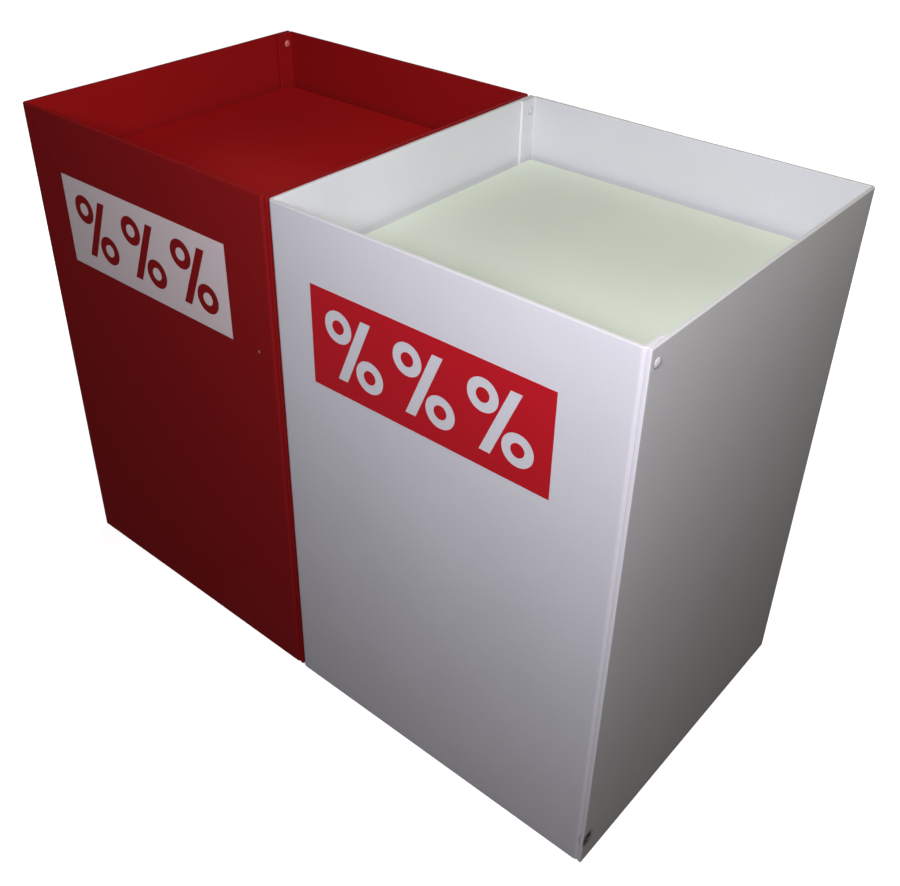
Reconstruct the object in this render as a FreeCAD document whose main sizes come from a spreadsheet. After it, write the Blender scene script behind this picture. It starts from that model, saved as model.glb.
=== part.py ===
import FreeCAD, Part
import math
import os
import re

import Sketcher
from FreeCAD import Placement, Rotation, Vector

# A cardboard floor display stand: two open-topped bins that stand side by side, one red and one white.
# Each bin is two L-shaped folded sheets riveted at two corners, a folded shelf, and two slotted
# boards that cross under the shelf and carry it.
# +X runs along the front from the red bin to the white one, the front faces -Y and +Z is up.
# The origin is on the floor, in the middle of the stand. Every size is in millimetres.

# The driving sizes, one cell of the sheet for each
SIZES = {
    "bin_width": 500,           # outside, along the front
    "bin_depth": 500,           # outside, front to back
    "bin_height": 750,
    "board": 5,                 # thickness of the corrugated board
    "crease_radius": 1,         # inside of every fold
    "flap_reach": 27,           # corner flap, from the inside of the corner
    "lap_gap": 0.2,             # between a flap and the wall that it is riveted to
    "edge_setback": 1,          # cut edge of a wall, behind the face of the wall beside it
    "shelf_drop": 85,           # from the rim down to the top of the shelf
    "shelf_flange": 40,         # turned-down edge of the shelf
    "shelf_clearance": 5,       # between the shelf and the corner flaps
    "shelf_gap": 10,            # between the shelf and the front and back walls
    "corner_relief": 1,         # cut away beyond the folds at each corner of the shelf
    "support_clearance": 0.3,   # ends and shoulders of the support boards
    "slot_clearance": 0.4,      # slots where the support boards cross
    "rivet_drop": 18,           # from the rim down to the upper rivets
    "rivet_foot": 44,           # from the floor up to the lower rivets
    "rivet_clearance": 2,       # between a rivet's head and the inside of the corner
    "head_radius": 6,
    "head_height": 2.4,
    "hole_radius": 3.5,
    "sleeve_radius": 3.4,       # outside of a socket's sleeve
    "bore_radius": 2.5,         # inside of a socket's sleeve
    "pin_radius": 2,
    "barb_radius": 2.4,         # the barb that grips in the bore
    "barb_length": 3,           # from the pin's tip
    "pin_setback": 1,           # sleeve's mouth behind the head, and pin's tip before the bore's end
    "seam_clearance": 0.3,      # between the rivet heads and the bin beside them
    "label_width": 344,
    "label_height": 133,
    "label_drop": 84,           # from the rim down to the top of a label
    "label_film": 0.3,          # thickness of a label
    "red_label_shift": -7,      # middle of the label from the middle of the red bin
    "white_label_shift": -15,   # the same on the white bin
}
BINS = {"red": -1, "white": 1}  # which side of the origin each bin stands on

# Places that several pieces share, measured in a bin's own frame from the middle of its floor
RIGHT = "bin_width / 2"
FRONT = "-bin_depth / 2"
BACK = "bin_depth / 2"
LEFT = "-bin_width / 2"
FOLD_OUTSIDE = "crease_radius + board"
FLAP_OUTSIDE = "bin_width / 2 - board - lap_gap"
FLAP_INSIDE = "bin_width / 2 - 2 * board - lap_gap"
FLAP_END = "-bin_depth / 2 + board + flap_reach"
RIVET_ACROSS = "-bin_depth / 2 + board + rivet_clearance + head_radius"
RIVET_UPPER = "bin_height - rivet_drop"
RIVET_GRIP = "2 * board + lap_gap"
SHELF_TOP = "bin_height - shelf_drop"
SHELF_HALF_WIDTH = "bin_width / 2 - 2 * board - lap_gap - shelf_clearance"
SHELF_HALF_DEPTH = "bin_depth / 2 - board - shelf_gap"
SHELF_FOLD_AREA = "crease_radius + board + corner_relief"

ALIAS = re.compile(r"[a-z][a-z_]+")
PLANES = {"plan": "XY_Plane", "front view": "XZ_Plane", "side view": "YZ_Plane"}

# A sketch counts its own axes down from -1, and the points of a line or an arc up from 1
ROOT, UPRIGHT_AXIS = range(-1, -3, -1)
START, END, CENTRE = range(1, 4)

doc = FreeCAD.newDocument("display_stand")
sheet = doc.addObject("Spreadsheet::Sheet", "sizes")
for row, (alias, value) in enumerate(SIZES.items(), 1):
    sheet.set(f"A{row}", str(value))
    sheet.setAlias(f"A{row}", alias)
doc.recompute()


def cells(text):
    """An expression in which each alias points at its cell."""
    return ALIAS.sub(lambda word: "sizes." + word.group(), text)


def number(text):
    """What an expression comes to now."""
    return float(sheet.evalExpression(cells(text)))


def bind(thing, path, text):
    thing.setExpression(path, cells(text))


def make_body(bin_name, piece, turn=0):
    """A sub-part of one bin, which stands on its side of the origin. A turn is in degrees, seen from above."""
    body = doc.addObject("PartDesign::Body", f"{bin_name}_{piece}")
    body.Label = f"{bin_name}_{piece}"
    body.Placement = Placement(Vector(), Rotation(Vector(0, 0, 1), turn))
    side = BINS[bin_name]
    bind(body, "Placement.Base.x", f"{side} * (bin_width + head_height + seam_clearance) / 2")
    return body


def origin_part(body, role):
    return next(part for part in body.Origin.OriginFeatures if part.Role == role)


def make_sketch(body, name, view, offset=()):
    """An empty sketch on one of the body's own planes, moved along the sketch's x, y and normal."""
    sketch = body.newObject("Sketcher::SketchObject", name)
    sketch.AttachmentSupport = [(origin_part(body, PLANES[view]), "")]
    sketch.MapMode = "FlatFace"
    for axis, distance in zip("xyz", offset):
        bind(sketch, f"AttachmentOffset.Base.{axis}", distance)
    return sketch


def constrain(sketch, *rule, size=None):
    """Adds one constraint, whose size follows an expression."""
    if size is None:
        sketch.addConstraint(Sketcher.Constraint(*rule))
        return
    index = sketch.addConstraint(Sketcher.Constraint(*rule, number(size)))
    sketch.renameConstraint(index, f"size_{index}")
    bind(sketch, f"Constraints.size_{index}", size)


def place(sketch, geometry, point, axis, distance):
    """Holds a point at its distance from the sketch's origin, along x or y."""
    if distance == "0":
        constrain(sketch, "PointOnObject", geometry, point, ROOT if axis == "y" else UPRIGHT_AXIS)
    else:
        constrain(sketch, f"Distance{axis.upper()}", ROOT, START, geometry, point, size=distance)


def angle_of(point, centre):
    return math.atan2(point.y - centre.y, point.x - centre.x)


def add_arc(sketch, begin, finish, centre):
    """The shorter arc between two points. Returns its index, and which of its ends lies at begin."""
    start_angle, end_angle = angle_of(begin, centre), angle_of(finish, centre)
    runs_forward = (end_angle - start_angle) % math.tau <= math.pi
    if not runs_forward:
        start_angle, end_angle = end_angle, start_angle
    if end_angle < start_angle:
        end_angle += math.tau
    circle = Part.Circle(centre, Vector(0, 0, 1), begin.distanceToPoint(centre))
    index = sketch.addGeometry(Part.ArcOfCircle(circle, start_angle, end_angle))
    return index, START if runs_forward else END


def square_loop(sketch, lines):
    """Draws a closed loop of upright and level lines, which is what a board bent at right angles shows.

    Each entry is the line's direction, its place and the radius of the corner that ends it, or None."""
    places = [number(place_of) for _, place_of, _ in lines]
    corners = []
    for index, (direction, _, _) in enumerate(lines):
        pair = (places[index], places[(index + 1) % len(lines)])
        corners.append(Vector(*(pair if direction == "upright" else pair[::-1]), 0))
    radii = [number(radius) if radius else 0 for _, _, radius in lines]
    ends = []
    for index, (direction, place_of, _) in enumerate(lines):
        before, after = corners[index - 1], corners[index]
        along = (after - before).normalize()
        begin, finish = before + along * radii[index - 1], after - along * radii[index]
        line = sketch.addGeometry(Part.LineSegment(begin, finish))
        ends.append((line, begin, finish, along))
        constrain(sketch, "Vertical" if direction == "upright" else "Horizontal", line)
        place(sketch, line, START, "x" if direction == "upright" else "y", place_of)
    for index, (_, _, radius) in enumerate(lines):
        line, _, finish, along = ends[index]
        next_line, begin, _, next_along = ends[(index + 1) % len(lines)]
        if not radius:
            constrain(sketch, "Coincident", line, END, next_line, START)
            continue
        centre = corners[index] + (next_along - along) * radii[index]
        arc, first = add_arc(sketch, finish, begin, centre)
        constrain(sketch, "Tangent", line, END, arc, first)
        constrain(sketch, "Tangent", arc, START + END - first, next_line, START)
        constrain(sketch, "Radius", arc, size=radius)


def turned_loop(sketch, points):
    """Draws half the section of a turned piece, with its axis along the sketch's x.

    Each entry is a point's place along the axis, its radius, and "dome" where an arc centred on the
    axis leads to the next point, or "line"."""
    spots = [Vector(number(along), number(radius), 0) for along, radius, _ in points]
    ends = []
    for index, (along, radius, edge) in enumerate(points):
        begin, finish = spots[index], spots[(index + 1) % len(spots)]
        if edge == "line":
            piece = sketch.addGeometry(Part.LineSegment(begin, finish))
            first = START
        else:
            middle = (finish.x ** 2 - begin.x ** 2 + finish.y ** 2 - begin.y ** 2) / (2 * (finish.x - begin.x))
            piece, first = add_arc(sketch, begin, finish, Vector(middle, 0, 0))
            constrain(sketch, "PointOnObject", piece, CENTRE, ROOT)
        place(sketch, piece, first, "x", along)
        place(sketch, piece, first, "y", radius)
        ends.append((piece, first))
    for index, (piece, first) in enumerate(ends):
        next_piece, next_first = ends[(index + 1) % len(ends)]
        constrain(sketch, "Coincident", piece, START + END - first, next_piece, next_first)


def pad(body, sketch, name, length, symmetric=False):
    """Gives a sketch its thickness, along its normal or to both sides."""
    feature = body.newObject("PartDesign::Pad", name)
    feature.Profile = sketch
    feature.SideType = "Symmetric" if symmetric else "One side"
    bind(feature, "Length", length)
    return feature


def folded_sheet(bin_name, piece, turn):
    """Two walls of a bin and a narrow flap, folded from one sheet. Unturned, it has the front and left walls,
    and its flap lies inside the right wall, which belongs to the other sheet."""
    body = make_body(bin_name, piece, turn)
    section = make_sketch(body, "section", "plan")
    square_loop(section, [
        ("upright", FLAP_OUTSIDE, None),
        ("level", FLAP_END, None),
        ("upright", FLAP_INSIDE, "crease_radius"),
        ("level", f"{FRONT} + board", "crease_radius"),
        ("upright", f"{LEFT} + board", None),
        ("level", f"{BACK} - edge_setback", None),
        ("upright", LEFT, FOLD_OUTSIDE),
        ("level", FRONT, FOLD_OUTSIDE),
    ])
    pad(body, section, "walls", "bin_height")
    punch(body, "flap_holes", RIVET_ACROSS, towards_right=True)
    punch(body, "wall_holes", f"-({RIVET_ACROSS})", towards_right=False)


def punch(body, name, across, towards_right):
    """Punches the upper and lower rivet holes through one thickness of board, on the right or on the left."""
    doc.recompute()
    uncut = body.Shape.Volume
    sketch = make_sketch(body, f"{name}_sketch", "side view")
    for height in (RIVET_UPPER, "rivet_foot"):
        spot = Vector(number(across), number(height), 0)
        circle = sketch.addGeometry(Part.Circle(spot, Vector(0, 0, 1), number("hole_radius")))
        place(sketch, circle, CENTRE, "x", across)
        place(sketch, circle, CENTRE, "y", height)
        constrain(sketch, "Radius", circle, size="hole_radius")
    pocket = body.newObject("PartDesign::Pocket", name)
    pocket.Profile = sketch
    pocket.Type = "Length"
    pocket.Reversed = towards_right
    bind(pocket, "Length", RIGHT)
    doc.recompute()
    punched = 2 * math.pi * number("hole_radius") ** 2 * number("board")
    if abs(uncut - body.Shape.Volume - punched) > punched / 100:
        raise RuntimeError(f"{body.Label}: {name} took away {uncut - body.Shape.Volume:.1f} mm3")


def channel(half_span):
    """The section of the shelf from edge to edge: flat on top, with both edges turned down."""
    flange_end = f"{SHELF_TOP} - shelf_flange"
    return [
        ("level", SHELF_TOP, FOLD_OUTSIDE),
        ("upright", f"-({half_span})", None),
        ("level", flange_end, None),
        ("upright", f"-({half_span}) + board", "crease_radius"),
        ("level", f"{SHELF_TOP} - board", "crease_radius"),
        ("upright", f"{half_span} - board", None),
        ("level", flange_end, None),
        ("upright", half_span, FOLD_OUTSIDE),
    ]


def shelf_tray(bin_name):
    """A cross-shaped sheet with all four edges turned down. Its corners stay open, as card can't bend two ways."""
    body = make_body(bin_name, "shelf_tray")
    for name, view, half_span, half_run in (
        ("side_edges", "front view", SHELF_HALF_WIDTH, SHELF_HALF_DEPTH),
        ("front_and_back_edges", "side view", SHELF_HALF_DEPTH, SHELF_HALF_WIDTH),
    ):
        sketch = make_sketch(body, f"{name}_sketch", view)
        square_loop(sketch, channel(half_span))
        pad(body, sketch, name, f"2 * ({half_run} - ({SHELF_FOLD_AREA}))", symmetric=True)


def support_board(bin_name, piece, view, half_wall, half_shelf, slot_from_top):
    """A board on edge that carries the shelf. Its shoulders clear the shelf's turned-down edges, and a slot to
    half its height lets it cross the other board."""
    body = make_body(bin_name, piece)
    top = f"{SHELF_TOP} - board"
    shoulder = f"{SHELF_TOP} - shelf_flange - support_clearance"
    foot_end = f"{half_wall} - board - support_clearance"
    head_end = f"{half_shelf} - board - crease_radius - support_clearance"
    slot_side = "(board + slot_clearance) / 2"
    slot_end = f"({top} {'-' if slot_from_top else '+'} slot_clearance) / 2"
    right_side = [("upright", foot_end, None), ("level", shoulder, None), ("upright", head_end, None)]
    left_side = [(direction, f"-({at})", None) if direction == "upright" else (direction, at, None)
                 for direction, at, _ in reversed(right_side)]
    slot = [("upright", slot_side, None), ("level", slot_end, None), ("upright", f"-({slot_side})", None)]
    head, foot = [("level", top, None)], [("level", "0", None)]
    if slot_from_top:
        loop = foot + right_side + head + slot + head + left_side
    else:
        loop = foot + right_side + head + left_side + foot + slot[::-1]
    outline = make_sketch(body, "outline", view)
    square_loop(outline, loop)
    pad(body, outline, "plate", "board", symmetric=True)


def rivet_sketch(body, height):
    """A sketch whose x axis is a rivet's own, from the outer face of the right wall outwards."""
    return make_sketch(body, "half_section", "front view", (RIGHT, height, f"-({RIVET_ACROSS})"))


def revolve(body, sketch):
    feature = body.newObject("PartDesign::Revolution", "turned")
    feature.Profile = sketch
    feature.ReferenceAxis = (sketch, ["H_Axis"])
    feature.Angle = 360
    return feature


def round_pattern(body):
    """Repeats a rivet at the opposite corner of the bin, half a turn round."""
    pattern = body.newObject("PartDesign::PolarPattern", "opposite_corner")
    pattern.Axis = (origin_part(body, "Z_Axis"), [""])
    pattern.Angle = 360
    pattern.Occurrences = 2
    return pattern


def rivet_studs(bin_name, level, height):
    """The outer halves of two snap rivets: a domed head and a pin with a barbed tip."""
    body = make_body(bin_name, f"{level}_rivet_studs")
    sketch = rivet_sketch(body, height)
    tip = f"-({RIVET_GRIP} - pin_setback)"
    turned_loop(sketch, [
        ("head_height", "0", "line"),
        (tip, "0", "line"),
        (tip, "pin_radius", "line"),
        (f"{tip} + barb_length", "barb_radius", "line"),
        (f"{tip} + barb_length", "pin_radius", "line"),
        ("0", "pin_radius", "line"),
        ("0", "head_radius", "dome"),
    ])
    opposite = round_pattern(body)
    opposite.Originals = [revolve(body, sketch)]
    body.Tip = opposite


def rivet_sockets(bin_name):
    """The inner halves of all four snap rivets: a domed head and a sleeve that lines the punched holes."""
    body = make_body(bin_name, "rivet_sockets")
    sketch = rivet_sketch(body, RIVET_UPPER)
    mouth, seat = "-pin_setback", f"-({RIVET_GRIP})"
    turned_loop(sketch, [
        (f"{seat} - head_height", "0", "line"),
        (seat, "0", "line"),
        (seat, "bore_radius", "line"),
        (mouth, "bore_radius", "line"),
        (mouth, "sleeve_radius", "line"),
        (seat, "sleeve_radius", "line"),
        (seat, "head_radius", "dome"),
    ])
    turned = revolve(body, sketch)
    lower = body.newObject("PartDesign::LinearPattern", "lower_rivet")
    lower.Direction = (origin_part(body, "Z_Axis"), [""])
    lower.Reversed = True
    lower.Occurrences = 2
    bind(lower, "Length", f"{RIVET_UPPER} - rivet_foot")
    every = body.newObject("PartDesign::MultiTransform", "every_corner")
    every.Originals = [turned]
    every.Transformations = [lower, round_pattern(body)]
    body.Tip = every


def sign_label(bin_name):
    """A thin adhesive label on the front wall."""
    body = make_body(bin_name, "sign_label")
    sketch = make_sketch(body, "outline", "front view", (f"{bin_name}_label_shift", "0", f"-({FRONT})"))
    label_top = "bin_height - label_drop"
    square_loop(sketch, [
        ("level", label_top, None),
        ("upright", "-label_width / 2", None),
        ("level", f"{label_top} - label_height", None),
        ("upright", "label_width / 2", None),
    ])
    pad(body, sketch, "film", "label_film")


for bin_name in BINS:
    folded_sheet(bin_name, "front_left_sheet", 0)
    folded_sheet(bin_name, "back_right_sheet", 180)
    shelf_tray(bin_name)
    support_board(bin_name, "support_board_across", "front view", RIGHT, SHELF_HALF_WIDTH, True)
    support_board(bin_name, "support_board_deep", "side view", BACK, SHELF_HALF_DEPTH, False)
    rivet_studs(bin_name, "upper", RIVET_UPPER)
    rivet_studs(bin_name, "lower", "rivet_foot")
    rivet_sockets(bin_name)
    sign_label(bin_name)
doc.recompute()

for thing in doc.Objects:
    if "Invalid" in thing.State or "Error" in thing.State:
        raise RuntimeError(f"{thing.Label} failed: {thing.State}")

os.makedirs("parts", exist_ok=True)
for body in doc.findObjects("PartDesign::Body"):
    if body.Shape.isNull() or not body.Shape.isValid():
        raise RuntimeError(f"{body.Label} has no valid shape")
for body in doc.findObjects("PartDesign::Body"):
    body.Shape.exportStep(f"parts/{body.Label}.step")
    print(body.Label, len(body.Shape.Solids), f"{body.Shape.Volume / 1000:.1f} cm3")
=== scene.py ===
# %% [markdown]
# # A display stand of two cardboard bins
#
# The object is a floor stand for goods: two open-topped bins of corrugated board, one red and one white,
# pushed together side by side. Each bin is two L-shaped folded sheets, riveted together at two corners,
# with a folded shelf a little below its rim and a sign on its front.
#
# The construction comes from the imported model, the frame. This script dresses it. Every board is built
# again as a mesh with rounded cut edges and a little bend, and every surface gets its finish.

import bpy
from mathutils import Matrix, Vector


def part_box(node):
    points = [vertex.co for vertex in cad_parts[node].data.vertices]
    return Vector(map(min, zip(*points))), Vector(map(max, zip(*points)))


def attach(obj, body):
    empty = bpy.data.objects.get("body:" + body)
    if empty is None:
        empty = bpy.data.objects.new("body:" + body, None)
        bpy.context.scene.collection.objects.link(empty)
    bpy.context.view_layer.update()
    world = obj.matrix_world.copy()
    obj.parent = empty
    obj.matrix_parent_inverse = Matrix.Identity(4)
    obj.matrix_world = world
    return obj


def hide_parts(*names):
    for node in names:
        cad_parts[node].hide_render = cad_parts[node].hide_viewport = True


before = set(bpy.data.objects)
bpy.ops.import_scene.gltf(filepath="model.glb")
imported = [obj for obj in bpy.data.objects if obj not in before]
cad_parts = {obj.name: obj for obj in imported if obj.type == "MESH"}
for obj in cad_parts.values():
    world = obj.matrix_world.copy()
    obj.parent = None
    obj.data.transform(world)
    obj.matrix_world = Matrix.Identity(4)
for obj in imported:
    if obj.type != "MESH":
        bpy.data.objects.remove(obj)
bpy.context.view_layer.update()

# %% [markdown]
# ## Sizes
#
# Blender counts in metres, and a board maker counts in millimetres, so each size below is written in
# millimetres and multiplied by MM. The outside sizes of a bin are read from the frame, so a bin that grows
# there grows here too. The other values are how such a bin is folded and punched.

# %% Sizes of a bin
import math

import bmesh
import bpy
from mathutils import Matrix, Vector

MM = 0.001
TINY = 0.001 * MM
BINS = ("red", "white")
SHEET_TURNS = {"front_left": 1, "back_right": -1}   # the back sheet is the front one turned half a turn


def bin_outline(colour):
    """Left, right, front, back and top of a bin, read from its two folded sheets."""
    front_low, front_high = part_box(f"{colour}_front_left_sheet")
    back_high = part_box(f"{colour}_back_right_sheet")[1]
    return front_low.x, back_high.x, front_low.y, back_high.y, front_high.z


OUTLINES = {colour: bin_outline(colour) for colour in BINS}
LEFT, RIGHT, FRONT, BACK, HEIGHT = OUTLINES["white"]
HALF_WIDTH, HALF_DEPTH = (RIGHT - LEFT) / 2, (BACK - FRONT) / 2
MIDDLES = {colour: (outline[0] + outline[1]) / 2 for colour, outline in OUTLINES.items()}
print(f"A bin is {2 * HALF_WIDTH:.3f} by {2 * HALF_DEPTH:.3f} by {HEIGHT:.3f} m")

# %% Sizes of the board and its folds
BOARD = 5 * MM              # thickness
FOLD_INSIDE = 1 * MM        # radius inside a fold
FOLD_OUTSIDE = FOLD_INSIDE + BOARD
FOLD_LENGTH = FOLD_OUTSIDE * math.pi / 2
FOLD_STEPS = 6
FLAP_REACH = 27 * MM        # corner flap, from the inside of the corner
LAP_GAP = 0.2 * MM          # between a flap and the wall that it is riveted to
EDGE_SETBACK = 1 * MM       # cut edge of a wall, behind the face of the wall beside it
EDGE_ROUNDING = 1.1 * MM    # the cutting rule leaves every cut edge crushed, so it is round
GRID = 12 * MM              # widest spacing of the lines that a board's mesh is drawn on
print(f"A fold takes {FOLD_LENGTH / MM:.1f} mm of board")

# %% [markdown]
# ## A strip of board, seen from its edge
#
# Seen from its edge, a folded board is straight runs joined by quarter circles. A bin's sheet looks like
# this from above, and the shelf looks like this from the front and from the side. One small class can
# therefore fold both. It turns a length along the flat board into a point on the folded one, at any depth
# through the thickness. The depth matters because the outside of a fold is rounder than its inside.

# %% The strip


def right_of(heading):
    """The direction to the right of a heading in two dimensions."""
    return Vector((heading.y, -heading.x))


class Strip:
    """Straight runs of board joined by quarter folds that all turn to the right, towards the inside."""

    def __init__(self, start, heading, runs):
        self.parts = []
        point, heading, flat = Vector(start), Vector(heading), 0.0
        for index, run in enumerate(runs):
            self.parts.append((flat, run, point, heading, False))
            point, flat = point + heading * run, flat + run
            if index < len(runs) - 1:
                self.parts.append((flat, FOLD_LENGTH, point, heading, True))
                point, flat = point + (heading + right_of(heading)) * FOLD_OUTSIDE, flat + FOLD_LENGTH
                heading = right_of(heading)
        self.length = flat

    def part_at(self, flat):
        return [part for part in self.parts if part[0] <= flat + TINY][-1]

    def at(self, flat, depth):
        """The point at a flat length and a depth from the outside, and the way inwards there."""
        begins, _, point, heading, folded = self.part_at(flat)
        inwards = right_of(heading)
        if not folded:
            return point + heading * (flat - begins) + inwards * depth, inwards
        angle = (flat - begins) / FOLD_OUTSIDE
        way = inwards * math.cos(angle) - heading * math.sin(angle)
        return point + inwards * FOLD_OUTSIDE - way * (FOLD_OUTSIDE - depth), way

    def stops(self):
        """The flat lengths at which the strip bends, with steps round each fold."""
        found = [0.0, self.length]
        for begins, length, _, _, folded in self.parts:
            steps = FOLD_STEPS if folded else 1
            found += [begins + length * step / steps for step in range(steps)]
        return found


print("A strip folds a flat length into a point, for example",
      Strip((0, 0), (0, 1), (20 * MM, 20 * MM)).at(30 * MM, 0)[0])

# %% [markdown]
# ## A board as a mesh
#
# A die cuts a board from a flat sheet, so the mesh is drawn the same way: as a grid on the flat board,
# from which the cells outside the cut are left out. Each cell gives a face on the outside and one on the
# inside, and each cell edge with nothing beyond it gives a face through the thickness. That makes a closed
# skin of quads only.
#
# A Boolean could punch the rivet holes, but it leaves long thin faces. Here the grid lines near a hole
# are pushed outwards until the square that they frame is a circle, which keeps every face a quad.

# %% Lines of the grid
HOLE_RADIUS = 3.5 * MM
HOLE_MARGIN = 6.5 * MM      # beyond this, the grid lines stay straight


def lines(stops, spacing=GRID):
    """Rising coordinates that pass through every stop, no further apart than the spacing."""
    stops = sorted({round(stop, 7) for stop in stops})
    made = []
    for low, high in zip(stops, stops[1:]):
        steps = math.ceil((high - low) / spacing - TINY)
        made += [low + (high - low) * step / steps for step in range(steps)]
    return made + stops[-1:]


def hole_stops(centre):
    """The lines that a punched hole needs: through it, round it and at its margin."""
    reaches = (0, HOLE_RADIUS / 2, HOLE_RADIUS, HOLE_MARGIN)
    return [centre + side * reach for reach in reaches for side in (-1, 1)]


def round_out(across, up, holes):
    """Moves a grid point near a hole so that the square of lines round the hole becomes a circle."""
    for hole_across, hole_up in holes:
        aside, above = across - hole_across, up - hole_up
        square, reach = max(abs(aside), abs(above)), math.hypot(aside, above)
        if HOLE_RADIUS - TINY <= square < HOLE_MARGIN:
            share = (HOLE_MARGIN - square) / (HOLE_MARGIN - HOLE_RADIUS)
            scale = 1 + share * (square / reach - 1)
            return hole_across + aside * scale, hole_up + above * scale
    return across, up


print("Lines round a hole at 0:", [round(line / MM, 2) for line in lines(hole_stops(0))])

# %% The board itself
OUTSIDE, INSIDE, CUT_EDGE = range(3)    # which finish a face of a board takes


def board_mesh(name, across, up, place, in_cut=lambda across, up: True, holes=()):
    """A closed mesh of a board that is cut on a flat grid and folded by place(across, up, depth)."""
    def is_board(column, row):
        if not (0 <= column < len(across) - 1 and 0 <= row < len(up) - 1):
            return False
        middle = (across[column] + across[column + 1]) / 2, (up[row] + up[row + 1]) / 2
        punched = any(max(abs(middle[0] - hole_across), abs(middle[1] - hole_up)) < HOLE_RADIUS
                      for hole_across, hole_up in holes)
        return in_cut(*middle) and not punched

    points, flats, numbers, faces, kinds = [], [], {}, [], []

    def corner(column, row, layer):
        if (column, row, layer) not in numbers:
            numbers[column, row, layer] = len(points)
            flat = round_out(across[column], up[row], holes)
            depth = layer * BOARD
            points.append(place(*flat, depth))
            flats.append((*flat, depth))
        return numbers[column, row, layer]

    for column in range(len(across) - 1):
        for row in range(len(up) - 1):
            if not is_board(column, row):
                continue
            ring = [(column, row), (column + 1, row), (column + 1, row + 1), (column, row + 1)]
            faces += [[corner(*spot, 0) for spot in ring], [corner(*spot, 1) for spot in reversed(ring)]]
            kinds += [OUTSIDE, INSIDE]
            beyond = [(column, row - 1), (column + 1, row), (column, row + 1), (column - 1, row)]
            for side, neighbour in enumerate(beyond):
                if not is_board(*neighbour):
                    begin, end = ring[side], ring[(side + 1) % 4]
                    faces.append([corner(*end, 0), corner(*begin, 0), corner(*begin, 1), corner(*end, 1)])
                    kinds.append(CUT_EDGE)
    mesh = bpy.data.meshes.new(name)
    mesh.from_pydata(points, [], faces)
    mesh.polygons.foreach_set("material_index", kinds)
    flat_place = mesh.attributes.new("flat_place", "FLOAT_VECTOR", "POINT")
    flat_place.data.foreach_set("vector", [number for flat in flats for number in flat])
    return mesh


print("A board is drawn flat, cut, folded and given its thickness in one go")

# %% [markdown]
# A mesh is only the shape. To be a piece of the object it needs an object, its finishes, smooth shading and
# a body to ride on. Normals that follow the skin have to face outwards, which Blender can work out for any
# closed mesh. The Bevel modifier rounds the cut edges, and Weighted Normal keeps the wide faces flat to
# the eye right up to that rounding.

# %% Make a piece of the object
ROUNDING_STEPS = 3
SHARP_ANGLE = math.radians(50)      # an edge that turns by more than this is a cut edge


def face_outwards(mesh):
    """Turns every face of a closed mesh outwards."""
    work = bmesh.new()
    work.from_mesh(mesh)
    bmesh.ops.recalc_face_normals(work, faces=work.faces)
    work.to_mesh(mesh)
    work.free()


def add_piece(name, mesh, finishes, replaced, rounding=0.0):
    """Puts a mesh into the scene in place of a node, with its finishes, and lets it ride on the stand."""
    face_outwards(mesh)
    mesh.shade_smooth()
    for finish in finishes:
        mesh.materials.append(finish)
    piece = bpy.data.objects.new(name, mesh)
    bpy.context.scene.collection.objects.link(piece)
    if rounding:
        bevel = piece.modifiers.new("rounded cut edges", "BEVEL")
        bevel.width, bevel.segments = rounding, ROUNDING_STEPS
        bevel.limit_method, bevel.angle_limit = "ANGLE", SHARP_ANGLE
    piece.modifiers.new("even shading", "WEIGHTED_NORMAL")
    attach(piece, "root")
    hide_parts(replaced)
    print(f"{name}: {len(mesh.polygons)} faces")
    return piece


print("Cut edges get a rounding of", EDGE_ROUNDING / MM, "mm in", ROUNDING_STEPS, "steps")

# %% [markdown]
# ## Writing a finish
#
# A finish is a node tree, and a long node tree is hard to read as code. Two small classes help. A Finish
# adds any node in one call. It hands back a Signal, which wraps the node's output and understands plus,
# minus and times, so that shader maths reads as ordinary maths.

# %% A signal in a finish


class Signal:
    """One output socket of a node. A sum written with it adds Math nodes."""

    def __init__(self, finish, socket):
        self.finish, self.socket = finish, socket

    def maths(self, operation, *values):
        return self.finish.node("Math", {"operation": operation}, dict(enumerate(values)))

    def __add__(self, other):
        return self.maths("ADD", self, other)

    def __radd__(self, other):
        return self.maths("ADD", other, self)

    def __sub__(self, other):
        return self.maths("SUBTRACT", self, other)

    def __rsub__(self, other):
        return self.maths("SUBTRACT", other, self)

    def __mul__(self, other):
        return self.maths("MULTIPLY", self, other)

    def __rmul__(self, other):
        return self.maths("MULTIPLY", other, self)

    def __abs__(self):
        return self.maths("ABSOLUTE", self)


print("Signal understands + - * and abs()")

# %% A finish and its nodes


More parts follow.
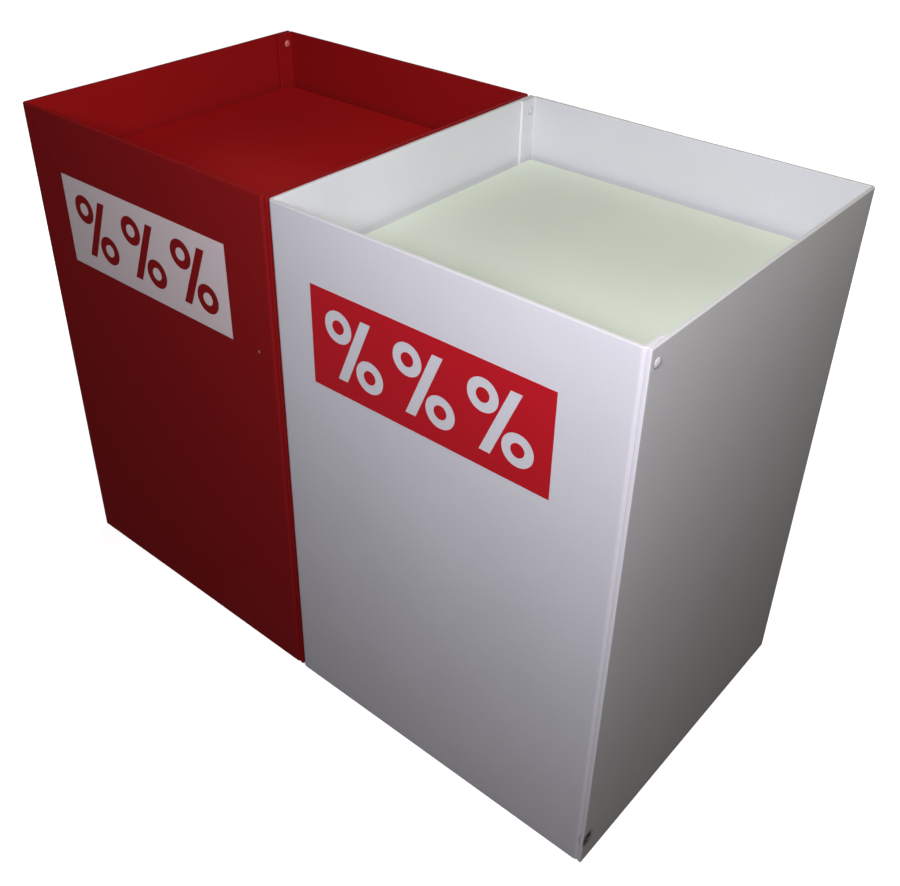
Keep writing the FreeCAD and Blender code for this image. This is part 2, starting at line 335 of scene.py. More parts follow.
class Finish:
    """The node tree of a material or of the world, written one node at a time."""

    def __init__(self, owner):
        owner.use_nodes = True
        self.owner, self.tree = owner, owner.node_tree
        self.tree.nodes.clear()

    def node(self, kind, settings=None, inputs=None, output=0):
        """Adds a node: first its settings, then the values and links of its sockets."""
        made = self.tree.nodes.new("ShaderNode" + kind)
        for name, value in (settings or {}).items():
            setattr(made, name, value)
        for name, value in (inputs or {}).items():
            if isinstance(value, Signal):
                self.tree.links.new(value.socket, made.inputs[name])
            else:
                made.inputs[name].default_value = value
        return Signal(self, made.outputs[output])

    def step(self, value, begin, end):
        """0 before begin, 1 after end and a smooth rise between them."""
        inputs = {"Value": value, "From Min": begin, "From Max": end}
        return self.node("MapRange", {"interpolation_type": "SMOOTHSTEP"}, inputs)

    def noise(self, where, scale, detail=2.0):
        """A cloudy pattern between 0 and 1, whose lumps are about one over the scale across."""
        return self.node("TexNoise", {}, {"Vector": where, "Scale": scale, "Detail": detail})

    def mix(self, share, first, second):
        """A blend of two colours."""
        return self.node("Mix", {"data_type": "RGBA"}, {0: share, 6: first, 7: second}, output=2)

    def bump(self, height_in_mm):
        """Normals of a surface that rises and falls by so many millimetres."""
        return self.node("Bump", {}, {"Distance": MM, "Height": height_in_mm})

    def surface(self, shader, kind="OutputMaterial"):
        """Ends the tree, and returns what it belongs to."""
        end = self.tree.nodes.new("ShaderNode" + kind)
        self.tree.links.new(shader.socket, end.inputs["Surface"])
        return self.owner


print("Finish adds nodes with node(), step(), noise(), mix() and bump()")

# %% [markdown]
# ## The finish of the board
#
# The outside of display board is smooth paper, printed in one colour. Close to, three things break it up:
# the faint ridges of the wavy layer inside, which run upright, a slight cloudiness of the ink, and the
# fibres of the paper. Together they darken the ink by a tenth at most, but without them the wall looks
# like plastic. The pattern is laid on the flat board, so it runs on round the folds.
#
# Three more things change the paper's colour. Along each crease white board is paler, partly stretched
# paper and partly a painted highlight. A band of painted shade darkens the inside of the walls at the
# shelf's top, where the gap beside the shelf lies in shade. A mark is a soft spot of another colour at one
# place.

# %% Colours


def paint(red, green, blue):
    """A colour as a screen shows it, 0 to 255, in the linear numbers that a shader takes."""
    def linear(value):
        share = value / 255
        return share / 12.92 if share <= 0.04045 else ((share + 0.055) / 1.055) ** 2.4
    return (*map(linear, (red, green, blue)), 1.0)


def dimmed(colour, share):
    """A colour with only a share of its light."""
    return (*[share * part for part in colour[:3]], 1.0)


BOARD_COLOURS = {"red": paint(150, 26, 28), "white": paint(235, 234, 235)}
CUT_COLOURS = {"red": paint(160, 24, 27), "white": paint(242, 241, 243)}
INSIDE_COLOURS = {"red": paint(162, 24, 26), "white": paint(227, 228, 232)}
SHELF_COLOURS = {"red": paint(184, 27, 29), "white": paint(229, 238, 223)}
FILM_COLOURS = {"red": paint(242, 228, 225), "white": paint(196, 28, 39)}     # by the bin it sticks to
# The red rivets' pale pink is partly their milky plastic and partly a painted glint.
RIVET_COLOURS_AND_GLINT = {"red": paint(226, 122, 122), "white": paint(208, 208, 214)}
DARK_RIVET = paint(16, 15, 16)
KRAFT = paint(176, 138, 98)
print("Red board is", [round(part, 3) for part in BOARD_COLOURS["red"][:3]])

# %% Printed paper over flutes
FLUTE_PITCH = 7.5 * MM      # from ridge to ridge
FLUTE_RELIEF = 0.012        # how far the ridges show through the paper, in millimetres
FIBRE_RELIEF = 0.012
CLOUDS, FIBRES = 9, 900     # lumps in a metre
GRAIN = 0.12                # how much darker the ink gets where all of the patterns are at their darkest
CLOUD_SHARE, FIBRE_SHARE, RIDGE_SHARE = 0.6, 0.3, 0.03      # what each pattern takes of that
PAPER_ROUGHNESS, PAPER_SHINE = 0.85, 0.03   # uncoated paper hardly shines, even along the wall
CLOUD_SMOOTHING, FIBRE_ROUGHENING = 0.08, 0.06              # what each pattern does to the roughness
INK_SHINES = {"red": 0.07, "white": PAPER_SHINE}
CREASE_REACH = 5 * MM       # how far from the middle of a fold the crease is paler: stretched paper and a painted highlight
CREASE_PALE_AND_HIGHLIGHT = paint(255, 250, 252)
CREASE_STRETCH_AND_HIGHLIGHT = {"red": 0.0, "white": 0.8}      # how much paler a crease is, partly stretched paper and partly a painted highlight
SHELF_SHADE_DROP, SHELF_SHADE_REACH = 3 * MM, 6 * MM        # painted shade at the shelf: how far under its top it is darkest, and how far it reaches
SHELF_SHADE_DARK = 0.11
SHELF_SHADE_LEAST = 0.5             # how much of the painted shade there is where the clouds are thinnest
MARK_CORE = 1 / 3           # a mark has its full strength over this share of its reach


def flat_coordinate(finish, axis):
    """Where a point lies on the flat board: X across it, Y up it and Z into it, in metres."""
    flat = finish.node("Attribute", {"attribute_name": "flat_place"}, output="Vector")
    return finish.node("SeparateXYZ", {}, {"Vector": flat}, output=axis)


def printed_board(name, colour, creases=(), marks=(), shelf_shade_at=None, shine=PAPER_SHINE, stretch_and_highlight=0.0):
    """Paper printed in one colour, over upright flutes, with its creases, painted shade at the shelf, and
    marks.
    """
    finish = Finish(bpy.data.materials.new(name))
    flat = finish.node("Attribute", {"attribute_name": "flat_place"}, output="Vector")
    across = flat_coordinate(finish, "X")
    ridges = finish.node("Math", {"operation": "SINE"}, {0: across * (math.tau / FLUTE_PITCH)})
    clouds, fibres = finish.noise(flat, CLOUDS, 3), finish.noise(flat, FIBRES)
    grain = clouds * CLOUD_SHARE + fibres * FIBRE_SHARE + ridges * RIDGE_SHARE
    seen = finish.mix(grain, colour, dimmed(colour, 1 - GRAIN))
    # Each crease is paler: partly stretched paper, partly a painted highlight.
    for crease in creases:
        stretched = finish.step(abs(across - crease), CREASE_REACH, 0.0) * fibres
        seen = finish.mix(stretched * stretch_and_highlight, seen, CREASE_PALE_AND_HIGHLIGHT)
    # Painted shade: a darker band on a wall at the shelf's top, where the gap beside the shelf is in shade.
    if shelf_shade_at:
        shelf_shade = finish.step(abs(flat_coordinate(finish, "Y") - (shelf_shade_at - SHELF_SHADE_DROP)), SHELF_SHADE_REACH, 0.0)
        seen = finish.mix(shelf_shade * (SHELF_SHADE_LEAST + clouds), seen, dimmed(colour, 1 - SHELF_SHADE_DARK))
    for spot, reach, ink, strength in marks:
        place = finish.node("TexCoord", output="Object")
        away = finish.node("VectorMath", {"operation": "DISTANCE"}, {0: place, 1: spot}, output="Value")
        seen = finish.mix(finish.step(away, reach, reach * MARK_CORE) * strength, seen, ink)
    roughness = PAPER_ROUGHNESS - CLOUD_SMOOTHING * clouds + FIBRE_ROUGHENING * fibres
    relief = ridges * FLUTE_RELIEF + fibres * FIBRE_RELIEF
    shader = finish.node("BsdfPrincipled", {}, {
        "Base Color": seen, "Roughness": roughness,
        "Specular IOR Level": shine, "Normal": finish.bump(relief)})
    return finish.surface(shader)


print("Printed board: ridges every", FLUTE_PITCH / MM, "mm")

# %% [markdown]
# A cut edge shows how the board is made: a wavy layer between two flat ones. The cutting rule crushes the
# edge, and the white or coloured paper is pressed over it, so the wave is only a faint line. It is drawn as
# the distance from a sine curve that runs along the edge through the thickness. Painted shade darkens the
# top of each rim, which faces up into the lamps' light.

# %% A cut edge
WAVE_REACH = 1.3 * MM       # how far the wavy layer swings to each side of the middle
WAVE_LINE = 0.5 * MM
WAVE_RELIEF, TORN_RELIEF = 0.04, 0.03       # of the wave and of the torn fibres, in millimetres
CUT_GRAIN = 0.2             # how much darker an edge is where its patterns are at their darkest
WAVE_SHARE, TORN_SHARE = 0.1, 0.15          # what the wave and the torn fibres take of that
TORN_ROUGHENING = 0.1
RIM_SHADE_SHARE = 0.73        # painted shade dims the top of a rim to this share of its colour
RIM_SHADE_LEAST, RIM_SHADE_UNEVENNESS = 0.7, 0.4
RIM_SHADE_DEPTH = 2 * MM


def cut_edge(name, colour, rim_shade_at=None):
    """The crushed edge of a board, with a trace of the wavy layer inside and painted shade on its rim."""
    finish = Finish(bpy.data.materials.new(name))
    flat = finish.node("Attribute", {"attribute_name": "flat_place"}, output="Vector")
    swing = finish.node("Math", {"operation": "SINE"},
                        {0: flat_coordinate(finish, "X") * (math.tau / FLUTE_PITCH)})
    wave = finish.step(abs(flat_coordinate(finish, "Z") - swing * WAVE_REACH - BOARD / 2), WAVE_LINE, 0.0)
    fibres = finish.noise(flat, FIBRES)
    seen = finish.mix(wave * WAVE_SHARE + fibres * TORN_SHARE, colour, dimmed(colour, 1 - CUT_GRAIN))
    # Painted shade: the top of the rim is darker.
    if rim_shade_at:
        rim_shade = finish.step(flat_coordinate(finish, "Y"), rim_shade_at - RIM_SHADE_DEPTH, rim_shade_at)
        rim_shade = rim_shade * (RIM_SHADE_LEAST + RIM_SHADE_UNEVENNESS * fibres)
        seen = finish.mix(rim_shade, seen, dimmed(colour, RIM_SHADE_SHARE))
    relief = fibres * TORN_RELIEF - wave * WAVE_RELIEF
    shader = finish.node("BsdfPrincipled", {}, {
        "Base Color": seen, "Roughness": PAPER_ROUGHNESS + TORN_ROUGHENING * fibres,
        "Specular IOR Level": PAPER_SHINE, "Normal": finish.bump(relief)})
    return finish.surface(shader)


print("Cut edges show the wave as a line", WAVE_LINE / MM, "mm wide")

# %% [markdown]
# ## The folded sheets
#
# One sheet is the front wall, the left wall and a narrow flap that goes in behind the right wall. The other
# sheet is the same, turned half a turn, so the same function makes both. Board is never quite flat: above
# the shelf nothing holds a wall, so the middle of its rim bends in by a little under a millimetre.

# %% How a wall bends
SHELF_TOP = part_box("white_shelf_tray")[1].z
RIM_LEAN = 0.8 * MM         # at the middle of a rim
HELD_LEAN = 0.15 * MM       # lower down, where the shelf and its supports hold the wall
RIM_WAVE = 0.25 * MM        # how unevenly a rim is cut
RIM_WAVE_LENGTH = 210 * MM
RIM_ZONE = 20 * MM


def smooth(share):
    """0 up to 0, 1 from 1 on and a smooth rise between."""
    share = min(1.0, max(0.0, share))
    return share * share * (3 - 2 * share)


def lean_in(share, up):
    """How far a wall has bent in, at a share of its run from fold to edge and a height above the floor."""
    free = smooth((up - SHELF_TOP) / (HEIGHT - SHELF_TOP))
    return (HELD_LEAN + (RIM_LEAN - HELD_LEAN) * free) * math.sin(math.pi * share) ** 2


def rim_dip(flat, up):
    """How far an uneven rim lies under its full height."""
    near_rim = smooth(1 - (HEIGHT - up) / RIM_ZONE)
    return RIM_WAVE * near_rim * (1 + math.sin(math.tau * flat / RIM_WAVE_LENGTH)) / 2


print(f"The middle of a rim bends in by {lean_in(0.5, HEIGHT) / MM:.2f} mm")

# %% The folded sheets
HEAD_RADIUS = 6 * MM
RIVET_CLEARANCE = 2 * MM    # between a rivet's head and the inside of the corner
RIVET_ASIDE = BOARD + RIVET_CLEARANCE + HEAD_RADIUS     # from a bin's front or back
RIVET_HEIGHTS = [sum(corner.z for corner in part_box(f"white_{level}_rivet_studs")) / 2
                 for level in ("lower", "upper")]
FLAP_FACE = HALF_WIDTH - BOARD - LAP_GAP
FLAP_RUN = FLAP_REACH - FOLD_INSIDE
SHEET = Strip((FLAP_FACE, -HALF_DEPTH + BOARD + FLAP_REACH), (0, -1), (
    FLAP_RUN, FLAP_FACE + HALF_WIDTH - 2 * FOLD_OUTSIDE, 2 * HALF_DEPTH - EDGE_SETBACK - FOLD_OUTSIDE))
SHEET_CREASES = [begins + length / 2 for begins, length, _, _, folded in SHEET.parts if folded]
PUNCHED = [FLAP_REACH + BOARD - RIVET_ASIDE, SHEET.length + EDGE_SETBACK - RIVET_ASIDE]


def sheet_place(colour, turn):
    """Folds the flat sheet round its bin. A turn of -1 puts it at the opposite corner."""
    def place(flat, up, depth):
        spot, inwards = SHEET.at(flat, depth)
        begins, run, _, _, folded = SHEET.part_at(flat)
        if not folded and run > FLAP_RUN:
            spot = spot + inwards * lean_in((flat - begins) / run, up)
        return MIDDLES[colour] + turn * spot.x, turn * spot.y, up - rim_dip(flat, up)
    return place


def folded_sheet(colour, corner, turn, finishes):
    holes = [(flat, height) for flat in PUNCHED for height in RIVET_HEIGHTS]
    across = lines(SHEET.stops() + [stop for flat in PUNCHED for stop in hole_stops(flat)])
    rivet_stops = [stop for height in RIVET_HEIGHTS for stop in hole_stops(height)]
    up = lines([0, HEIGHT - RIM_ZONE, HEIGHT] + rivet_stops)
    mesh = board_mesh(f"{colour}_{corner}_board", across, up, sheet_place(colour, turn), holes=holes)
    return add_piece(f"{colour}_{corner}_board", mesh, finishes,
                     f"{colour}_{corner}_sheet", EDGE_ROUNDING)


# Each mark: where its middle is, how far it reaches, its colour and its strength
MARKS = {
    # a small pale spot on the red front near the seam
    "red": [(Vector((-36.6, -250, 534)) * MM, 2.5 * MM, paint(230, 190, 190), 0.6)],
    # a dark soft spot round the lower rivet near the white bin's front right corner
    "white": [(Vector((507, -241, 41)) * MM, 18 * MM, paint(62, 56, 54), 0.9)],
}
for colour in BINS:
    ink = BOARD_COLOURS[colour]
    finishes = [
        printed_board(f"{colour} board outside", ink, SHEET_CREASES, MARKS[colour],
                      shine=INK_SHINES[colour], stretch_and_highlight=CREASE_STRETCH_AND_HIGHLIGHT[colour]),
        printed_board(f"{colour} board inside", INSIDE_COLOURS[colour], shelf_shade_at=SHELF_TOP),
        cut_edge(f"{colour} board cut edge", CUT_COLOURS[colour], rim_shade_at=HEIGHT),
    ]
    for corner, turn in SHEET_TURNS.items():
        folded_sheet(colour, corner, turn, finishes)

# %% [markdown]
# ## The shelf
#
# The shelf is a cross-shaped sheet with all four edges turned down, which makes it stiff. Its corners are
# cut away, because board can't bend two ways at once. Two strips give its fold, one seen from the front and
# one seen from the side. It rests on two crossed boards, so each quarter between them sags a little.

# %% The shelf
CORNER_RELIEF = 1 * MM      # cut away beyond the folds at each corner
SHELF_SAG = 0.9 * MM


def shelf_strips(colour):
    """The shelf seen from the front and from the side, as two strips."""
    low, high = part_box(f"{colour}_shelf_tray")
    flange = high.z - low.z - FOLD_OUTSIDE
    halves = (high.x - low.x) / 2, (high.y - low.y) / 2
    return [Strip((-half, low.z), (0, 1), (flange, 2 * (half - FOLD_OUTSIDE), flange)) for half in halves]


def shelf_tray(colour, finishes):
    wide, deep = shelf_strips(colour)

    def beyond(strip, flat):
        """Whether a flat length lies in a turned-down edge or its fold."""
        begins, run, _, _, _ = strip.parts[2]
        return not begins + CORNER_RELIEF < flat < begins + run - CORNER_RELIEF

    def place(across, up, depth):
        (x, fall_x), (y, fall_y) = wide.at(across, depth)[0], deep.at(up, depth)[0]
        quarters = math.sin(math.tau * across / wide.length) * math.sin(math.tau * up / deep.length)
        return MIDDLES[colour] + x, y, min(fall_x, fall_y) - SHELF_SAG * quarters ** 2

    def stops(strip):
        begins, run, _, _, _ = strip.parts[2]
        return strip.stops() + [begins + CORNER_RELIEF, begins + run - CORNER_RELIEF, strip.length / 2]

    mesh = board_mesh(f"{colour}_shelf", lines(stops(wide)), lines(stops(deep)), place,
                      in_cut=lambda across, up: not (beyond(wide, across) and beyond(deep, up)))
    return add_piece(f"{colour}_shelf", mesh, finishes,
                     f"{colour}_shelf_tray", EDGE_ROUNDING)


for colour in BINS:
    ink = SHELF_COLOURS[colour]
    top, underside = (printed_board(f"{colour} shelf {side}", ink) for side in ("top", "underside"))
    shelf_tray(colour, [top, underside, cut_edge(f"{colour} shelf cut edge", ink)])

# %% [markdown]
# ## The boards under the shelf
#
# Two boards stand on edge under each shelf and cross in a slot. Nobody sees them unless the bin is turned
# over, so they are plain brown board. Their shape is right in the frame, so the frame's own nodes stay, and
# only get a finish. A carried-over node has no flat coordinates, so this finish uses the place in space.

# %% Plain brown board
LONG_FIBRES = (1, 1, 0.2)   # the pattern is drawn out upright, where the fibres are long
BROWN_GRAIN = 0.28          # how much darker the darkest brown is
BROWN_CLOUDS, BROWN_FIBRES = 0.5, 0.4       # what each pattern takes of that
SPECKS, SPECK_BEGINS, SPECK_FULL = 420, 0.66, 0.74
SPECK_STRENGTH, SPECK_GRAIN = 0.5, 0.6
BROWN_RELIEF = 0.04         # in millimetres


def brown_board(name):
    """Unprinted board, with long fibres and darker specks."""
    finish = Finish(bpy.data.materials.new(name))
    place = finish.node("TexCoord", output="Object")
    stretched = finish.node("VectorMath", {"operation": "MULTIPLY"}, {0: place, 1: LONG_FIBRES})
    fibres, clouds = finish.noise(stretched, FIBRES, 3), finish.noise(place, CLOUDS, 3)
    specks = finish.step(finish.noise(place, SPECKS, 1), SPECK_BEGINS, SPECK_FULL)
    grain = clouds * BROWN_CLOUDS + fibres * BROWN_FIBRES
    seen = finish.mix(grain, KRAFT, dimmed(KRAFT, 1 - BROWN_GRAIN))
    seen = finish.mix(specks * SPECK_STRENGTH, seen, dimmed(KRAFT, 1 - SPECK_GRAIN))
    shader = finish.node("BsdfPrincipled", {}, {
        "Base Color": seen, "Roughness": PAPER_ROUGHNESS + TORN_ROUGHENING * fibres,
        "Specular IOR Level": PAPER_SHINE, "Normal": finish.bump(fibres * BROWN_RELIEF)})
    return finish.surface(shader)


brown = brown_board("brown board")
for name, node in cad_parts.items():
    if "support_board" in name:
        node.data.materials.clear()
        node.data.materials.append(brown)
        print(f"{name} is brown board")

# %% [markdown]
# ## The rivets
#
# Snap rivets of plastic hold the sheets together: a stud with a barbed pin goes through both boards and
# clicks into a socket on the inside. Each half is a turned shape, so it is drawn as half a section and spun
# about its axis. The frame's rivets have the same section with fewer facets, and these replace them because
# a small glossy dome shows every facet.

# %% Turn a profile about an axis
TURN_STEPS = 40


def turned_mesh(name, profile, spots):
    """Spins a profile of (along, radius) about an axis along X, once at each spot of (centre, side)."""
    points, faces = [], []
    for centre, side in spots:
        rings = []
        for along, radius in profile:
            steps = TURN_STEPS if radius > TINY else 1
            rings.append(list(range(len(points), len(points) + steps)))
            for step in range(steps):
                angle = math.tau * step / TURN_STEPS
                offset = Vector((side * along, radius * math.cos(angle), radius * math.sin(angle)))
                points.append(centre + offset)
        for ring, after in zip(rings, rings[1:]):
            for step in range(TURN_STEPS):
                beside = (step + 1) % TURN_STEPS
                face = [ring[step % len(ring)], ring[beside % len(ring)],
                        after[beside % len(after)], after[step % len(after)]]
                faces.append(list(dict.fromkeys(face)))
    mesh = bpy.data.meshes.new(name)
    mesh.from_pydata(points, [], faces)
    return mesh


def dome(base, height, steps=8):
    """The profile of a round head from its rim to its top: base is its place along the axis."""
    reach = (HEAD_RADIUS ** 2 + height ** 2) / (2 * abs(height))
    sweep = math.asin(HEAD_RADIUS / reach)
    way = math.copysign(1, height)
    return [(base + height - way * reach * (1 - math.cos(sweep * (1 - step / steps))),
             reach * math.sin(sweep * (1 - step / steps))) for step in range(steps + 1)]


print("A head is", 2 * HEAD_RADIUS / MM, "mm across")

# %% Studs and sockets
GRIP = 2 * BOARD + LAP_GAP
HEAD_HEIGHT = 2.4 * MM
PIN_RADIUS, BARB_RADIUS, BARB_LENGTH, PIN_SETBACK = 2 * MM, 2.4 * MM, 3 * MM, 1 * MM
SLEEVE_RADIUS, BORE_RADIUS = 3.4 * MM, 2.5 * MM
PIN_TIP = PIN_SETBACK - GRIP
RIVET_CLOUDS, RIVET_GRAIN = 300, 2500       # lumps in a metre
RIVET_CLOUDING, RIVET_DARK = 0.3, 0.2       # how much darker plastic shows, and how much darker it is
RIVET_ROUGHNESS, RIVET_ROUGHENING = 0.28, 0.12
RIVET_RELIEF = 0.01         # in millimetres
STUD = [(PIN_TIP, 0), (PIN_TIP, PIN_RADIUS), (PIN_TIP + BARB_LENGTH, BARB_RADIUS),
        (PIN_TIP + BARB_LENGTH, PIN_RADIUS), (0, PIN_RADIUS)] + dome(0, HEAD_HEIGHT)
SOCKET = [(-GRIP, 0), (-GRIP, BORE_RADIUS), (-PIN_SETBACK, BORE_RADIUS), (-PIN_SETBACK, SLEEVE_RADIUS),
          (-GRIP, SLEEVE_RADIUS)] + dome(-GRIP, -HEAD_HEIGHT)


def rivet_plastic(name, colour, shine=0.5):
    """Moulded plastic with a soft shine."""
    finish = Finish(bpy.data.materials.new(name))
    place = finish.node("TexCoord", output="Object")
    clouds, grain = finish.noise(place, RIVET_CLOUDS), finish.noise(place, RIVET_GRAIN)
    seen = finish.mix(clouds * RIVET_CLOUDING, colour, dimmed(colour, 1 - RIVET_DARK))
    shader = finish.node("BsdfPrincipled", {}, {
        "Base Color": seen, "Roughness": RIVET_ROUGHNESS + RIVET_ROUGHENING * clouds,
        "Specular IOR Level": shine, "Normal": finish.bump(grain * RIVET_RELIEF)})
    return finish.surface(shader)


def rivet_spots(colour, heights):
    """Where rivets go through: near the front on a bin's right wall, and near the back on its left."""
    return [(Vector((MIDDLES[colour] + side * HALF_WIDTH, side * (RIVET_ASIDE - HALF_DEPTH), height)), side)
            for side in (1, -1) for height in heights]


def add_rivets(colour, piece, profile, heights, finish):
    mesh = turned_mesh(f"{colour}_{piece}", profile, rivet_spots(colour, heights))
    return add_piece(f"{colour}_{piece}_snap", mesh, [finish], f"{colour}_{piece}")


dark_plastic = rivet_plastic("dark rivet plastic", DARK_RIVET, shine=0.1)
for colour in BINS:
    # For the red bin this colour holds a painted glint.
    plastic = rivet_plastic(f"{colour} rivet plastic", RIVET_COLOURS_AND_GLINT[colour])
    lower, upper = RIVET_HEIGHTS
    add_rivets(colour, "upper_rivet_studs", STUD, [upper], plastic)
    add_rivets(colour, "lower_rivet_studs", STUD, [lower], dark_plastic)
    add_rivets(colour, "rivet_sockets", SOCKET, RIVET_HEIGHTS, plastic)

# %% [markdown]
# ## The signs
#
# A sign is a rectangle of coloured vinyl film, and its message is cut out of it so that the board shows
# through. The message here is a plain row of percent signs: rings and slanted bars. A flat curve with
# several outlines fills itself by the odd and even rule, so an outline inside the rectangle is a hole and
# one inside that is an island again, which is just how film is cut.

# %% Outlines of a sign
SIGN_HEIGHT, SIGN_PITCH = 90 * MM, 105 * MM
RING_OUTSIDE, RING_INSIDE = 21 * MM, 9 * MM
RING_ASIDE, RING_ABOVE = 24 * MM, 24 * MM
BAR_LEAN, BAR_WIDTH = 19 * MM, 15 * MM      # half of the bar's lean from foot to top, and its width
CIRCLE_STEPS = 64


def circle(x, z, radius):
    return [(x + radius * math.cos(math.tau * step / CIRCLE_STEPS),
             z + radius * math.sin(math.tau * step / CIRCLE_STEPS)) for step in range(CIRCLE_STEPS)]


def percent_sign(x):
    """The cuts of one percent sign: two rings with an island of film in each, and a slanted bar."""
    rings = [circle(x - way * RING_ASIDE, way * RING_ABOVE, radius)
             for way in (1, -1) for radius in (RING_OUTSIDE, RING_INSIDE)]
    half = SIGN_HEIGHT / 2
    bar = [(x + lean * BAR_LEAN + side * BAR_WIDTH / 2, lean * half) for lean, side in
           ((-1, -1), (-1, 1), (1, 1), (1, -1))]
    return rings + [bar]


def sign_cuts(width, height):
    """The outline of the film, and then the cuts of its three percent signs."""
    corners = ((-1, -1), (1, -1), (1, 1), (-1, 1))
    outline = [(side * width / 2, way * height / 2) for side, way in corners]
    return [outline] + [cut for place in (-1, 0, 1) for cut in percent_sign(place * SIGN_PITCH)]


print("A sign has", len(sign_cuts(1, 1)), "cuts")

# %% Film on the front wall
FILM_GRID = 15 * MM
FILM_CLOUDS, FILM_PEEL = 14, 420            # lumps in a metre
FILM_CLOUDING, FILM_DARK = 0.35, 0.12       # how much darker film shows, and how much darker it is
FILM_ROUGHNESS, FILM_ROUGHENING, FILM_SHINE = 0.55, 0.08, 0.08
FILM_RELIEF = 0.015         # in millimetres


def film_mesh(name, cuts, thickness):
    """A flat film with holes, which Blender fills, and then a grid of cuts so that it can bend."""
    curve = bpy.data.curves.new(name, "CURVE")
    curve.dimensions, curve.fill_mode, curve.extrude = "2D", "BOTH", thickness / 2
    for cut in cuts:
        spline = curve.splines.new("POLY")
        spline.points.add(len(cut) - 1)
        spline.points.foreach_set("co", [number for x, z in cut for number in (x, z, 0, 1)])
        spline.use_cyclic_u = True
    drawn = bpy.data.objects.new(name, curve)
    bpy.context.scene.collection.objects.link(drawn)
    mesh = bpy.data.meshes.new_from_object(drawn.evaluated_get(bpy.context.evaluated_depsgraph_get()))
    bpy.data.objects.remove(drawn)
    work = bmesh.new()
    work.from_mesh(mesh)
    bmesh.ops.remove_doubles(work, verts=work.verts, dist=TINY)
    for axis, length in enumerate((max(x for x, _ in cuts[0]), max(z for _, z in cuts[0]))):
        normal = Vector([axis == 0, axis == 1, 0])
        for at in lines([-length, length], FILM_GRID)[1:-1]:
            everything = work.verts[:] + work.edges[:] + work.faces[:]
            bmesh.ops.bisect_plane(work, geom=everything, plane_co=normal * at, plane_no=normal)
    work.to_mesh(mesh)
    work.free()
    return mesh


def add_sign(colour, finish):
    """Bends a film onto the front wall, which itself bends in a little."""
    low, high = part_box(f"{colour}_sign_label")
    thickness, middle = high.y - low.y, (low + high) / 2
    mesh = film_mesh(f"{colour}_sign", sign_cuts(high.x - low.x, high.z - low.z), thickness)
    begins, run, point, _, _ = SHEET.parts[2]
    for vertex in mesh.vertices:
        x, z, outwards = vertex.co.x + middle.x, vertex.co.y + middle.z, vertex.co.z + thickness / 2
        share = (MIDDLES[colour] + point.x - x) / run
        vertex.co = x, FRONT + lean_in(share, z) - outwards, z
    return add_piece(f"{colour}_sign", mesh, [finish], f"{colour}_sign_label")


def vinyl_film(name, colour):
    """Calendered vinyl: even in colour, with a soft shine and a slight orange peel."""
    finish = Finish(bpy.data.materials.new(name))
    place = finish.node("TexCoord", output="Object")
    clouds, peel = finish.noise(place, FILM_CLOUDS, 3), finish.noise(place, FILM_PEEL)
    seen = finish.mix(clouds * FILM_CLOUDING, colour, dimmed(colour, 1 - FILM_DARK))
    shader = finish.node("BsdfPrincipled", {}, {
        "Base Color": seen, "Roughness": FILM_ROUGHNESS + FILM_ROUGHENING * clouds,
        "Specular IOR Level": FILM_SHINE, "Normal": finish.bump(peel * FILM_RELIEF)})
    return finish.surface(shader)


for colour in BINS:
    add_sign(colour, vinyl_film(f"film on the {colour} bin", FILM_COLOURS[colour]))

# %% [markdown]
# ## Floor and backdrop
#
# The floor and the backdrop look white to the camera and in reflections. To every other ray they are dim,
# so they throw hardly any light back on the walls. The floor still takes the stand's shadow: near the
# stand it is part glowing and part lit, so lit floor is full white and shaded floor is a little less.
# Nothing glows inside the bins, which have no bottom.

# %% Floor and backdrop
FLOOR_SIZE = 12.0
FLOOR_DROP = 0.2 * MM
DIM_FLOOR, DIM_WORLD = (0.048, 0.030, 0.008, 1.0), 0.01     # a warm floor, and no sky to speak of
GLOW_COLOUR, FLOOR_COLOUR = paint(255, 255, 255), paint(250, 250, 250)
SHADE_GLOW = 0.72           # how bright the floor is in full shadow
SHADE_NEAR, SHADE_FAR = 0.75, 1.5           # from the middle of the stand, where the shadow fades out


def seen_directly(finish):
    """1 for the camera and for reflected and refracted sight, 0 for light on its way to a surface."""
    rays = [finish.node("LightPath", output=kind)
            for kind in ("Is Camera Ray", "Is Glossy Ray", "Is Transmission Ray")]
    return finish.step(rays[0] + rays[1] + rays[2], 0.0, 1.0)


def floor_finish():
    """White to the camera, dim to the walls, and dark under the bins."""
    finish = Finish(bpy.data.materials.new("floor"))
    place = finish.node("TexCoord", output="Object")
    away = finish.node("VectorMath", {"operation": "LENGTH"}, {0: place}, output="Value")
    clear = finish.step(away, SHADE_NEAR, SHADE_FAR)
    beside, behind = (abs(finish.node("SeparateXYZ", {}, {"Vector": place}, output=axis))
                      for axis in ("X", "Y"))
    beyond = finish.node("Math", {"operation": "MAXIMUM"}, {0: beside - RIGHT, 1: behind - BACK})
    outside = finish.step(beyond, -BOARD, 0.0)
    strength = outside * (SHADE_GLOW + (1 - SHADE_GLOW) * clear)
    glow = finish.node("Emission", {}, {"Color": GLOW_COLOUR, "Strength": strength})
    lit = finish.node("BsdfDiffuse", {}, {"Color": FLOOR_COLOUR})
    white = finish.node("AddShader", {}, {0: glow, 1: lit})
    dim = finish.node("BsdfDiffuse", {}, {"Color": DIM_FLOOR})
    return finish.surface(finish.node("MixShader", {}, {0: seen_directly(finish), 1: dim, 2: white}))


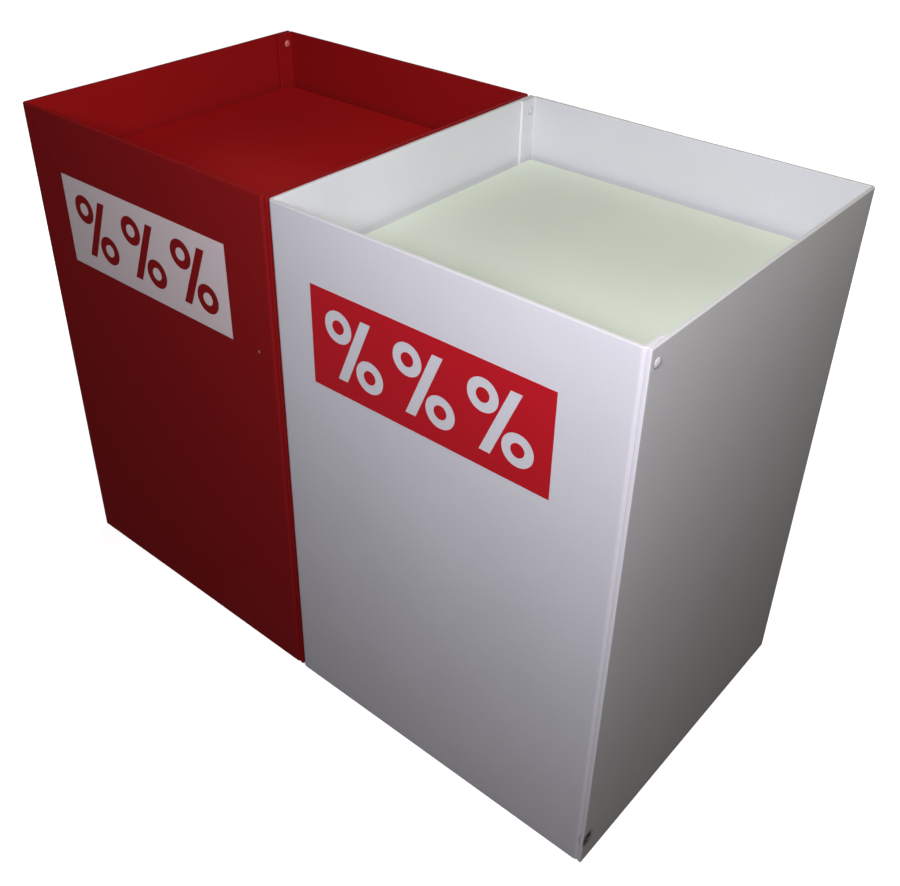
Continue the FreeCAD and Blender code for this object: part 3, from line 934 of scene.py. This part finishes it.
def add_floor():
    half = FLOOR_SIZE / 2
    corners = [(x, y, -FLOOR_DROP) for x, y in ((-half, -half), (half, -half), (half, half), (-half, half))]
    mesh = bpy.data.meshes.new("floor")
    mesh.from_pydata(corners, [], [(0, 1, 2, 3)])
    mesh.materials.append(floor_finish())
    floor = bpy.data.objects.new("floor", mesh)
    bpy.context.scene.collection.objects.link(floor)
    return floor


def backdrop():
    world = bpy.data.worlds.new("backdrop")
    finish = Finish(world)
    strength = DIM_WORLD + (1 - DIM_WORLD) * seen_directly(finish)
    sky = finish.node("Background", {}, {"Color": GLOW_COLOUR, "Strength": strength})
    finish.surface(sky, "OutputWorld")
    bpy.context.scene.world = world


add_floor()
backdrop()
print("The floor is", FLOOR_SIZE, "m square")

# %% [markdown]
# ## Lamps
#
# Three round lamps light the stand. The front one is small and near the camera, so the light falls off
# fast to the left and towards the foot. The overhead one is wider, and lights the shelves and the right
# side. The back one lights what the main view doesn't show. The front lamp is a little cool and the
# overhead one a little warm, and no surface gets enough light to turn plain white.

# %% Lamps
# Each lamp: where it hangs, what it is aimed at, its width, its watts and its colour
LAMPS = {
    "front": ((0.74, -1.00, 1.28), (0.05, -0.10, 0.95), 0.35, 11.9, (1.00, 0.985, 1.11)),
    "overhead": ((0.93, -0.25, 1.94), (-0.50, 0.30, 0.60), 0.70, 9.6, (1.00, 0.975, 0.84)),
    "back": ((-1.35, 1.75, 0.95), (-0.10, 0.10, 0.40), 0.80, 26.0, (1.00, 1.00, 1.00)),
}


def add_lamp(name, place, aim, width, watts, colour):
    light = bpy.data.lights.new(name, "AREA")
    light.shape, light.size, light.energy, light.color = "DISK", width, watts, colour
    lamp = bpy.data.objects.new(name, light)
    lamp.location = place
    lamp.rotation_mode = "QUATERNION"
    lamp.rotation_quaternion = (Vector(aim) - Vector(place)).to_track_quat("-Z", "Y")
    lamp.visible_camera = False
    bpy.context.scene.collection.objects.link(lamp)
    print(f"Lamp {name}: {watts} W, {width} m across")


for name, (place, aim, width, watts, colour) in LAMPS.items():
    add_lamp(name, place, aim, width, watts, colour)

# %% [markdown]
# ## The camera
#
# The camera looks down on the stand from the front and the right, close by, so that the upright edges
# run together towards the foot. Its place, direction and lens were worked out from the corners of the bins.

# %% The camera
EYE = Vector((0.8869, -0.9992, 1.2387))
LOOK = Vector((-0.5444, 0.6328, -0.5507)).normalized()
SIDEWAYS = Vector((0.7549, 0.6557, 0.0072))
PICTURE_WIDTH, PICTURE_HEIGHT = 900, 886
FOCAL_LENGTH = 1088.1       # of the picture's own pixels
PICTURE_CENTRE = 427.5, 398.1       # the pixel that the lens points at


def add_camera():
    data = bpy.data.cameras.new("camera")
    data.sensor_fit = "HORIZONTAL"
    data.lens = FOCAL_LENGTH / PICTURE_WIDTH * data.sensor_width
    data.shift_x = 0.5 - PICTURE_CENTRE[0] / PICTURE_WIDTH
    data.shift_y = (PICTURE_CENTRE[1] - PICTURE_HEIGHT / 2) / PICTURE_WIDTH
    right = (SIDEWAYS - LOOK * SIDEWAYS.dot(LOOK)).normalized()
    turn = Matrix((right, right.cross(LOOK), -LOOK)).transposed()
    camera = bpy.data.objects.new("camera", data)
    camera.matrix_world = Matrix.Translation(EYE) @ turn.to_4x4()
    bpy.context.scene.collection.objects.link(camera)
    bpy.context.scene.camera = camera
    print(f"Camera: lens {data.lens:.1f} mm, shift {data.shift_x:.3f}, {data.shift_y:.3f}")


add_camera()
bpy.context.scene.view_settings.view_transform = "Standard"
